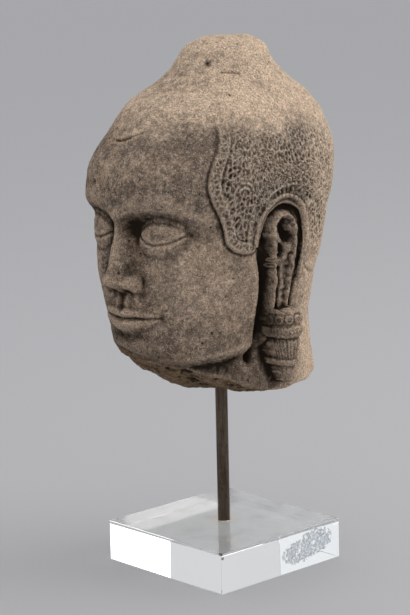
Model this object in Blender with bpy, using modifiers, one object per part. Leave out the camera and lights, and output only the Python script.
"""Carved stone head of a Buddha, held up by a bronze rod on a clear acrylic block.

Metres, +Z up. The origin is the centre of the block's underside, X and Y run along
the block's sides, the head looks along -Y and its left ear is at +X.

The head is one free form. It is laid out on a carver's grid of 252 units from its
lowest point to the worn top of the crown, so a place on it is (x, y, h) in units:
x to the head's left, y to the back, h up from the lowest point, with x = y = 0 on
the rod's axis.
"""
import math

import bmesh
import bpy
import numpy as np

# Driving dimensions
BLOCK_SIDE = 0.120
BLOCK_HEIGHT = 0.030
BLOCK_EDGE = 0.0008
ROD_DIAMETER = 0.009
ROD_EXPOSED = 0.104
ROD_CHAMFER = 0.0006
SOCKET_DEPTH = 0.004
BORE_DEPTH = 0.045
FIT_GAP = 0.0003
HEAD_HEIGHT = 0.252

# Fineness of the round pieces and of the carving
ROD_SIDES = 48
CARVING_CUTS = 87
HEAD_TRIANGLES = 8600

# The carver's grid
GRID_HEIGHT = 252.0
UNIT = HEAD_HEIGHT / GRID_HEIGHT
HEAD_BASE = BLOCK_HEIGHT + ROD_EXPOSED

# Level sections of the plain head: height, half width, front y, back y, y of the
# widest place, roundness of the front half and of the back half
SECTIONS = np.array([
    (-10, 63.0, -80.0, 70.0, -3.0, 1.90, 2.20),
    (14, 63.5, -84.0, 69.0, -4.0, 1.85, 2.20),
    (30, 63.5, -88.0, 66.0, -5.0, 1.85, 2.20),
    (54, 65.5, -91.0, 62.0, -6.0, 1.90, 2.25),
    (78, 69.0, -92.5, 63.0, -8.0, 1.98, 2.30),
    (101, 72.5, -93.0, 69.5, -8.0, 2.08, 2.30),
    (124, 75.0, -94.5, 77.5, -8.0, 2.18, 2.30),
    (139, 75.8, -97.5, 82.5, -8.0, 2.26, 2.30),
    (151, 76.0, -99.0, 86.0, -7.0, 2.30, 2.30),
    (171, 74.0, -94.0, 87.5, -4.0, 2.30, 2.30),
    (186, 68.7, -82.7, 85.5, 1.0, 2.25, 2.25),
    (199, 62.3, -72.4, 80.0, 4.0, 2.20, 2.20),
    (211, 54.0, -60.5, 71.5, 5.5, 2.15, 2.15),
    (223, 42.5, -38.5, 56.0, 9.0, 2.10, 2.10),
    (230, 38.0, -30.5, 49.5, 9.6, 2.00, 2.00),
    (239, 33.0, -23.5, 43.0, 10.0, 2.00, 2.00),
    (247, 27.0, -15.5, 39.0, 12.0, 2.00, 2.00),
    (251, 20.0, -8.0, 33.0, 13.0, 2.00, 2.00),
])
STUMP_TOP = 251.0

# Heights of the face, by the old rule of thirds from hairline to chin
CHIN = 26.0
THIRD = 56.5
NOSE_BASE = CHIN + THIRD
BROW = NOSE_BASE + THIRD
MOUTH = NOSE_BASE - THIRD / 3
EYE_LINE = (CHIN + 221.0) / 2
EYE_WIDTH = 30.0
EYE_OFFSET = EYE_WIDTH

# The ear, as places (y, h) on the side of the head, each stroke with its half width and rise
EAR_CENTRE = (-9.5, 116.5)
EAR_RADII = (14.0, 20.0)
LOBE_FOOT = 62.0
LOBE_TOP = 100.0
EAR_STROKES = [
    # rim, from its root in front, over the top and down the back
    ([(-20.5, 121.0), (-20.5, 127.0), (-18.5, 131.5), (-13.0, 134.0), (-7.0, 133.8), (-1.5, 131.0),
      (0.8, 124.5), (1.0, 114.0), (-0.5, 102.0), (-1.2, 86.0), (-2.6, 63.0)], 2.2, 3.0),
    # front ridge, from the rim's root to the small knob before the bowl
    ([(-21.0, 119.0), (-18.6, 113.5), (-18.6, 109.0)], 2.5, 2.2),
    # front strip of the long lobe
    ([(-16.4, 98.0), (-15.2, 86.0), (-15.4, 62.0)], 1.8, 1.6),
    # inner ridge
    ([(-2.4, 123.0), (-2.4, 115.0), (-5.6, 108.0), (-8.8, 102.5)], 2.2, 1.8),
    # bowl of the ear, the hollow below it and the slit in the lobe
    ([(-11.0, 126.5), (-9.0, 121.5), (-6.0, 116.5)], 3.9, -6.5),
    ([(-12.6, 110.5), (-11.2, 106.0)], 2.7, -5.0),
    ([(-11.6, 93.0), (-11.4, 64.0)], 1.5, -6.0),
]
# Grooves round the ear: behind it and over it, and the deep one before the lobe
EAR_GROOVE = [
    (-24.0, 117.5), (-24.4, 127.5), (-19.5, 135.0), (-8.5, 138.2), (2.0, 135.0), (7.5, 127.0),
    (8.0, 114.0), (6.6, 100.0), (5.0, 84.0), (3.4, 64.0)]
FRONT_GROOVE = [
    (-24.5, 120.0), (-27.0, 112.0), (-24.5, 104.0), (-20.8, 95.0), (-19.4, 84.0), (-19.4, 60.0), (-21.0, 30.0)]
# Centre line of the band that arches over the ear
EAR_ARCH = [
    (-30.0, 116.0), (-29.5, 126.0), (-25.0, 136.0), (-15.5, 143.0), (-6.0, 144.5),
    (5.0, 141.0), (12.5, 133.0), (15.5, 122.0), (15.0, 106.0), (12.5, 88.0)]

# The turned pendant: x of its axis, y of its axis at the collar and how far that moves
# back for each unit down, then height and radius from collar to tip
PENDANT_AXIS_X = 69.5
PENDANT_Y = -4.5
PENDANT_LEAN = 0.11
PENDANT_COLLAR = 60.0
PENDANT_PROFILE = np.array([
    (66.0, 9.0), (64.5, 11.8), (60.0, 12.8), (55.5, 12.2), (54.0, 11.2), (52.8, 12.4), (49.0, 12.6),
    (46.5, 11.6), (45.0, 9.2), (40.0, 9.6), (34.0, 8.9), (29.5, 7.2), (28.5, 8.0), (25.5, 7.8),
    (24.0, 5.4), (18.0, 4.4), (12.0, 2.0)])

# Border of the hair, as (degrees round from the front, h): down the temple, round the
# lock before the ear, over the ear and across the nape
HAIR_BORDER = [
    (38.0, 214.0), (45.0, 197.0), (48.0, 184.0), (45.5, 166.0), (45.0, 156.0), (47.5, 146.0),
    (50.5, 138.0), (52.5, 129.0), (53.8, 119.0), (56.5, 113.2), (60.5, 109.6), (65.0, 108.0),
    (70.0, 107.6), (73.5, 110.0), (73.0, 124.0), (77.0, 136.0), (86.0, 144.5),
    (97.0, 143.0), (104.0, 135.0), (107.5, 121.0), (108.0, 98.0), (116.0, 88.0), (130.0, 84.0),
    (182.0, 82.0)]
HAIR_BAND = 10.0
DEGREE_LENGTH = 1.36


def ramp(value, start, end):
    """0 before start, 1 after end, with a soft turn at both."""
    t = np.clip((value - start) / (end - start), 0.0, 1.0)
    return t * t * (3.0 - 2.0 * t)


def mound(a, b, centre, radii):
    """A soft round mound of height 1."""
    return np.exp(-((a - centre[0]) / radii[0]) ** 2 - ((b - centre[1]) / radii[1]) ** 2)


def larger(a, b, blend):
    """The larger of two surfaces, with their meeting rounded over a width."""
    gap = np.clip(0.5 + 0.5 * (a - b) / blend, 0.0, 1.0)
    return b + (a - b) * gap + blend * gap * (1.0 - gap)


def from_path(path, a, b):
    """Distance of points from a path, negative on its left hand, and how far along."""
    best = np.full(a.shape, 1e9)
    side = np.ones(a.shape)
    along = np.zeros(a.shape)
    start = 0.0
    for (a0, b0), (a1, b1) in zip(path[:-1], path[1:]):
        da, db = a1 - a0, b1 - b0
        length = math.hypot(da, db)
        t = np.clip(((a - a0) * da + (b - b0) * db) / length ** 2, 0.0, 1.0)
        away_a, away_b = a - a0 - t * da, b - b0 - t * db
        away = np.hypot(away_a, away_b)
        nearer = away < best
        best = np.where(nearer, away, best)
        side = np.where(nearer, np.where(db * away_a - da * away_b < 0, -1.0, 1.0), side)
        along = np.where(nearer, start + t * length, along)
        start += length
    return best * side, along


def rounded(path, rounds=2):
    """The same path with its corners cut, twice as many points each round."""
    for _ in range(rounds):
        ends = np.array(path)
        quarter = 0.75 * ends[:-1] + 0.25 * ends[1:]
        beyond = 0.25 * ends[:-1] + 0.75 * ends[1:]
        path = [ends[0], *np.stack([quarter, beyond], 1).reshape(-1, 2)[1:-1], ends[-1]]
    return path


def swell(x, y, h, length, seed):
    """Smooth uneven swelling of worn stone, about -1 to 1, with lumps of a length."""
    lattice = np.random.default_rng(seed).uniform(-1.0, 1.0, (24, 24, 24))
    place = np.stack([x, y, h]) / length
    corner = np.floor(place).astype(int)
    t = place - corner
    t = t * t * (3.0 - 2.0 * t)
    total = np.zeros(x.shape)
    for i, j, k in np.ndindex(2, 2, 2):
        near = (np.where((i, j, k)[axis], t[axis], 1.0 - t[axis]) for axis in range(3))
        share = math.prod(near)
        total += share * lattice[tuple((corner[axis] + (i, j, k)[axis]) % 24 for axis in range(3))]
    return total


def section_at(h):
    """Section sizes at each height, on smooth curves through SECTIONS."""
    level = SECTIONS[:, 0]
    i = np.clip(np.searchsorted(level, h) - 1, 0, len(level) - 2)
    step = level[i + 1] - level[i]
    t = np.clip((h - level[i]) / step, 0.0, 1.0)
    sizes = []
    for size in SECTIONS[:, 1:].T:
        slope = np.gradient(size, level)
        sizes.append((2 * t ** 3 - 3 * t ** 2 + 1) * size[i] + (t ** 3 - 2 * t ** 2 + t) * step * slope[i]
                     + (3 * t ** 2 - 2 * t ** 3) * size[i + 1] + (t ** 3 - t ** 2) * step * slope[i + 1])
    return sizes


def break_edge(round_angle):
    """Height of the ragged lower edge: lowest at the left ear, highest at the far jaw."""
    slant = (21.0 + 12.0 * np.cos(round_angle) - 9.0 * np.sin(round_angle)
             + 4.0 * np.cos(2 * round_angle) - 4.0 * np.sin(2 * round_angle))
    dip = 3.0 * np.exp(-((np.degrees(round_angle) - 100.0) / 42.0) ** 2)
    return slant - dip + 0.7 * np.sin(7 * round_angle + 1.0) + 0.5 * np.sin(13 * round_angle + 2.0)


def neck_inset(degrees, h):
    """How far the neck lies inside the jaw: most just under the jaw line."""
    away = np.abs(degrees)
    under_jaw = 29.5 + 11.5 * (np.clip(away - 20.0, 0.0, 62.0) / 62.0) ** 1.3 - h
    return 8.0 * ramp(under_jaw, -3.5, 6.0) * (1.0 - 0.45 * ramp(under_jaw, 8.0, 30.0)) * ramp(away, 104.0, 86.0)


def plain_head(round_angle, way_up):
    """The plain head: way_up runs from the middle of the broken underside to the top."""
    under, top = 0.16, 0.95
    edge = break_edge(round_angle)
    side_share = np.clip((way_up - under) / (top - under), 0.0, 1.0)
    h = edge + (STUMP_TOP - edge) * side_share
    width, front, back, middle, round_front, round_back = section_at(h)
    forward = np.cos(round_angle) > 0
    depth = np.where(forward, middle - front, back - middle)
    power = np.where(forward, round_front, round_back)
    reach = ((np.abs(np.sin(round_angle)) / width) ** power
             + (np.abs(np.cos(round_angle)) / depth) ** power) ** (-1.0 / power)
    reach -= neck_inset(np.degrees(round_angle), h)
    out = np.where(way_up < under, way_up / under, np.where(way_up > top, (1.0 - way_up) / (1.0 - top), 1.0))
    x = reach * out * np.sin(round_angle)
    y = middle * np.where(way_up < under, out, 1.0) - reach * out * np.cos(round_angle)
    h = np.where(way_up < under, edge * out ** 2.4, h)
    h = np.where(way_up > top, STUMP_TOP + (GRID_HEIGHT - STUMP_TOP) * (1.0 - out ** 2), h)
    return x, y, h


def hair_relief(degrees, h):
    """The skin lies under the cap of hair, which has a raised band and a cut line at its border."""
    path = [(a * DEGREE_LENGTH, b) for a, b in HAIR_BORDER]
    outward, _ = from_path(rounded(path, 1), np.abs(degrees) * DEGREE_LENGTH, h)
    inward = -outward
    skin = ramp(inward, 1.4, -0.6) * ramp(np.abs(degrees), 112.0, 100.0)
    band = ramp(inward, 0.0, 1.5) * ramp(inward, HAIR_BAND, HAIR_BAND - 1.5) * ramp(np.abs(degrees), 71.0, 66.0)
    line = np.exp(-(inward / 1.1) ** 2)
    worn = ramp(h, 205.0, 182.0)
    return (0.9 * band - 1.5 * skin - 0.7 * line) * worn


def eye_relief(s, h):
    """A closed eye: the ball under its lids, the lash line and the fold above."""
    across = (s - EYE_OFFSET - 1.0) / 15.5
    up = h - EYE_LINE - 0.8 * across
    ball = np.sqrt(np.clip(17.0 ** 2 - (12.6 * across) ** 2 - (up + 1.5) ** 2, 0.0, None)) - 10.5
    relief = larger(ball, np.zeros(s.shape), 3.0) - 0.75
    near = ramp(np.abs(across), 1.16, 0.86)
    lash = up + 5.6 * (1.0 - across ** 2)
    relief += 1.3 * ramp(lash, -0.7, 0.7) * ramp(up, 9.0, 2.0) * near
    relief += 0.9 * np.exp(-((lash + 2.6) / 1.5) ** 2) * near
    relief -= 1.0 * np.exp(-((lash + 0.9) / 0.9) ** 2) * near
    fold = up - 8.4 * (1.0 - 0.7 * across ** 2)
    return relief - 0.8 * np.exp(-(fold / 1.5) ** 2) * near


def nose_relief(s, h):
    """A straight nose with a rounded tip, rounded wings and shallow nostrils."""
    down = np.clip((BROW - 7.0 - h) / (BROW - 12.0 - NOSE_BASE), 0.0, 1.0)
    ridge = (3.5 + 10.5 * down) * ramp(h, NOSE_BASE - 3.0, NOSE_BASE + 9.0) * ramp(h, BROW + 9.0, BROW - 9.0)
    relief = ridge * np.exp(-(s / (7.5 + 4.0 * down ** 1.4)) ** 2.0)
    relief += 3.8 * mound(s, h, (0.0, NOSE_BASE + 7.5), (8.0, 6.5))
    relief += 5.2 * mound(s, h, (12.0, NOSE_BASE + 6.0), (4.8, 5.4)) * ramp(h, NOSE_BASE - 2.5, NOSE_BASE + 2.5)
    relief -= 0.9 * mound(s, h, (18.5, NOSE_BASE + 7.5), (3.0, 6.5))
    return relief - 2.4 * mound(s, h, (6.8, NOSE_BASE + 0.6), (2.8, 1.7))


def mouth_relief(s, h):
    """Full closed lips as two soft rolls over the swell of the teeth, and the chin below."""
    relief = 4.2 * mound(s, h, (0.0, MOUTH + 1.0), (27.0, 18.0))
    fullness = np.cos(np.clip(s / 27.5, 0.0, 1.0) * math.pi / 2) ** 0.75
    parting = MOUTH + 0.8 * (s / 25.0) ** 2 - 0.7 * np.exp(-(s / 6.0) ** 2)
    upper_height = 1.5 + 5.6 * fullness - 1.1 * np.exp(-(s / 3.2) ** 2)
    lower_height = 1.5 + 7.8 * fullness
    up = (h - parting) / upper_height
    down = (parting - h) / lower_height
    relief += 2.6 * fullness * ramp(up, -0.05, 0.42) * ramp(up, 1.25, 0.62)
    relief += 3.4 * fullness * ramp(down, -0.05, 0.42) * ramp(down, 1.35, 0.55)
    relief -= 1.5 * np.exp(-((h - parting) / 1.1) ** 2) * ramp(s, 29.0, 23.0)
    relief -= 1.4 * mound(s, h, (28.5, MOUTH + 1.0), (3.8, 4.4))
    between = ramp(up, 0.95, 1.45) * ramp(h, NOSE_BASE + 0.5, NOSE_BASE - 3.5)
    relief += (0.35 * np.exp(-((s - 4.8) / 1.8) ** 2) - 0.7 * np.exp(-(s / 2.5) ** 2)) * between
    relief -= 2.4 * mound(s, h, (0.0, MOUTH - 14.5), (16.0, 4.6))
    return relief + 4.5 * mound(s, h, (0.0, CHIN + 12.0), (17.0, 11.0))


def face_relief(x, h):
    """The face, calm and of plain proportions, as relief that stands forward."""
    s = np.sqrt(x ** 2 + 0.2)
    brow_line = BROW + 3.5 - 0.0075 * (s - 31.0) ** 2
    relief = 3.0 * np.exp(-((h - brow_line) / np.where(h > brow_line, 10.0, 4.2)) ** 2) * ramp(s, 68.0, 48.0)
    relief -= 7.5 * mound(s, h, (EYE_OFFSET + 1.0, EYE_LINE + 3.0), (21.0, 12.5))
    relief -= 2.5 * mound(s, h, (12.0, EYE_LINE + 2.0), (6.5, 9.0))
    relief += 3.4 * mound(s, h, (41.0, 92.0), (24.0, 24.0))
    return relief + eye_relief(s, h) + nose_relief(s, h) + mouth_relief(s, h)


def ear_shape(y, h):
    """1 on the ear and its long lobe, 0 off it, with a steep edge."""
    shell = 1.0 - np.hypot((y - EAR_CENTRE[0]) / EAR_RADII[0], (h - EAR_CENTRE[1]) / EAR_RADII[1])
    front = -17.4 - 4.6 * ramp(h, LOBE_TOP - 6.0, LOBE_TOP + 12.0)
    back = 0.6 + 3.4 * ramp(h, LOBE_FOOT, EAR_CENTRE[1])
    strip = np.minimum(y - front, back - y) / 14.0
    strip = np.where(h < EAR_CENTRE[1], strip, -1.0)
    return ramp(np.maximum(shell, strip), 0.0, 0.15) * ramp(h, LOBE_FOOT - 3.0, LOBE_FOOT)


def side_relief(y, h):
    """The ear, the grooves round it and the band that arches over it."""
    ear = ear_shape(y, h)
    relief = 3.8 * ear
    for path, half_width, rise in EAR_STROKES:
        away, _ = from_path(rounded(path, 1), y, h)
        relief += rise * np.exp(-(away / half_width) ** 2) * ear
    groove, _ = from_path(rounded(EAR_GROOVE), y, h)
    relief -= 3.0 * np.exp(-(groove / 2.3) ** 2) * (1.0 - ear)
    deep, _ = from_path(rounded(FRONT_GROOVE), y, h)
    depth = 2.5 + 5.5 * ramp(h, 112.0, 92.0)
    relief -= depth * np.exp(-(deep / 3.4) ** 2) * (1.0 - ear)
    arch, _ = from_path(rounded(EAR_ARCH), y, h)
    return relief + 1.6 * ramp(np.abs(arch), 3.9, 2.5) * (1.0 - ear)


def pendant_surface(y, h):
    """How far out the turned pendant reaches, with upright flutes on its bud."""
    radius = np.interp(h, PENDANT_PROFILE[::-1, 0], PENDANT_PROFILE[::-1, 1])
    radius = np.where((h > PENDANT_PROFILE[0, 0]) | (h < PENDANT_PROFILE[-1, 0]), 0.0, radius)
    across = (y - PENDANT_Y - PENDANT_LEAN * (PENDANT_COLLAR - h)) / np.maximum(radius, 0.1)
    flutes = 0.7 * np.abs(np.sin(across * 5.0)) * ramp(h, 45.0, 43.0) * ramp(h, 29.5, 31.5)
    round_out = np.sqrt(np.clip(1.0 - across ** 2, 0.0, 1.0))
    return np.where((round_out > 0.0) & (radius > 0.0), PENDANT_AXIS_X + (radius + flutes) * round_out, 0.0)


def carve(x, y, h):
    """Turn the plain head's points into the carved, worn and broken head."""
    middle = section_at(h)[3]
    round_angle = np.arctan2(x, middle - y)
    above_break = h - break_edge(round_angle)
    out = hair_relief(np.degrees(round_angle), h)
    x = x + out * np.sin(round_angle)
    y = y - out * np.cos(round_angle)
    y = y - face_relief(x, h) * ramp(-y, 22.0, 55.0) * ramp(h, 176.0, 150.0) * ramp(above_break, 0.0, 4.0)
    whole = ramp(above_break, 0.0, 7.0)
    reach = np.abs(x) + side_relief(y, h) * ramp(np.abs(x), 38.0, 50.0) * whole
    reach = larger(reach, pendant_surface(y, h) * ramp(above_break, 0.0, 2.5), 1.5)
    x = np.where(np.abs(x) > 38.0, np.sign(x) * reach, x)
    worn = 0.9 * swell(x, y, h, 26.0, 3) + 0.5 * swell(x, y, h, 11.0, 5)
    worn += 0.9 * ramp(h, 222.0, 244.0) * swell(x, y, h, 18.0, 9)
    x = x + worn * np.sin(round_angle)
    y = y - worn * np.cos(round_angle)
    rough = 1.8 * swell(x, y, h, 12.0, 7) * ramp(-above_break, 0.0, 3.0) * ramp(np.hypot(x, y), 12.0, 40.0)
    rough += 1.2 * ramp(h, 245.0, 251.0) * swell(x, y, h, 13.0, 11)
    return x, y, np.clip(h + rough, 0.0, GRID_HEIGHT)


def clear_scene():
    for thing in list(bpy.data.objects):
        bpy.data.objects.remove(thing, do_unlink=True)


def make_collection(name):
    collection = bpy.data.collections.new(name)
    bpy.context.scene.collection.children.link(collection)
    return collection


def make_material(name, colour, roughness, metallic=0.0, transmission=0.0):
    material = bpy.data.materials.new(name)
    material.use_nodes = True
    shader = material.node_tree.nodes["Principled BSDF"]
    shader.inputs["Base Color"].default_value = (*colour, 1.0)
    shader.inputs["Roughness"].default_value = roughness
    shader.inputs["Metallic"].default_value = metallic
    shader.inputs["Transmission Weight"].default_value = transmission
    return material


def object_from(form, name, collection, material=None):
    """Close a bmesh into a named object."""
    mesh = bpy.data.meshes.new(name)
    form.to_mesh(mesh)
    form.free()
    thing = bpy.data.objects.new(name, mesh)
    collection.objects.link(thing)
    if material:
        mesh.materials.append(material)
    return thing


def make_cylinder(name, radius, bottom, top, collection, material=None):
    form = bmesh.new()
    bmesh.ops.create_cone(form, cap_ends=True, segments=ROD_SIDES, radius1=radius, radius2=radius,
                          depth=top - bottom)
    thing = object_from(form, name, collection, material)
    thing.location.z = (top + bottom) / 2
    return thing


def make_cutter(name, radius, bottom, top, collection):
    cutter = make_cylinder(name, radius, bottom, top, collection)
    cutter.hide_render = True
    cutter.display_type = "WIRE"
    return cutter


def cut(thing, cutter):
    hole = thing.modifiers.new(cutter.name, "BOOLEAN")
    hole.operation = "DIFFERENCE"
    hole.object = cutter


def make_block(collection, cutters):
    """The clear block: a square slab with fine bevelled edges and a socket on top."""
    form = bmesh.new()
    bmesh.ops.create_cube(form, size=1.0)
    bmesh.ops.scale(form, vec=(BLOCK_SIDE, BLOCK_SIDE, BLOCK_HEIGHT), verts=form.verts)
    acrylic = make_material("clear_acrylic", (0.93, 0.96, 0.96), 0.03, transmission=1.0)
    block = object_from(form, "base_block", collection, acrylic)
    block.location.z = BLOCK_HEIGHT / 2
    edges = block.modifiers.new("fine edges", "BEVEL")
    edges.width = BLOCK_EDGE
    edges.segments = 2
    cut(block, make_cutter("socket_cutter", ROD_DIAMETER / 2 + FIT_GAP, BLOCK_HEIGHT - SOCKET_DEPTH,
                           BLOCK_HEIGHT + SOCKET_DEPTH, cutters))
    return block


def make_rod(collection):
    """The rod stands in the block's socket and ends in the head's bore."""
    bronze = make_material("patinated_bronze", (0.10, 0.07, 0.045), 0.42, metallic=0.85)
    bottom = BLOCK_HEIGHT - SOCKET_DEPTH + FIT_GAP
    rod = make_cylinder("rod", ROD_DIAMETER / 2, bottom, HEAD_BASE + BORE_DEPTH - FIT_GAP, collection, bronze)
    ends = rod.modifiers.new("chamfered ends", "BEVEL")
    ends.width = ROD_CHAMFER
    ends.segments = 1
    ends.limit_method = "ANGLE"
    ends.angle_limit = math.radians(60)
    rod.data.shade_smooth()
    rod.data.set_sharp_from_angle(angle=math.radians(35))
    return rod


def carved_mesh(mesh):
    """Round a gridded cube into a ball, lay the ball on the plain head and carve it."""
    cube = np.empty(3 * len(mesh.vertices))
    mesh.vertices.foreach_get("co", cube)
    ball = np.tan(cube.reshape(-1, 3) * math.pi / 4)
    ball /= np.linalg.norm(ball, axis=1)[:, None]
    round_angle = np.arctan2(ball[:, 0], -ball[:, 1])
    way_up = 0.5 + np.arcsin(ball[:, 2]) / math.pi
    carved = np.column_stack(carve(*plain_head(round_angle, way_up))) * UNIT
    mesh.vertices.foreach_set("co", carved.ravel())
    mesh.update()


def make_head(collection, cutters):
    """The carved head, thinned to few facets and bored for the rod."""
    form = bmesh.new()
    bmesh.ops.create_cube(form, size=2.0)
    bmesh.ops.subdivide_edges(form, edges=form.edges, cuts=CARVING_CUTS, use_grid_fill=True)
    stone = make_material("carved_stone", (0.30, 0.245, 0.20), 0.92)
    head = object_from(form, "head", collection, stone)
    carved_mesh(head.data)
    head.data.shade_smooth()
    head.location.z = HEAD_BASE
    thin = head.modifiers.new("fewer facets", "DECIMATE")
    thin.ratio = HEAD_TRIANGLES / (12 * (CARVING_CUTS + 1) ** 2)
    cut(head, make_cutter("bore_cutter", ROD_DIAMETER / 2 + FIT_GAP, HEAD_BASE - BORE_DEPTH,
                          HEAD_BASE + BORE_DEPTH, cutters))
    return head


def main():
    clear_scene()
    pieces = make_collection("buddha_head")
    cutters = make_collection("cutters")
    make_block(pieces, cutters)
    make_rod(pieces)
    make_head(pieces, cutters)


main()
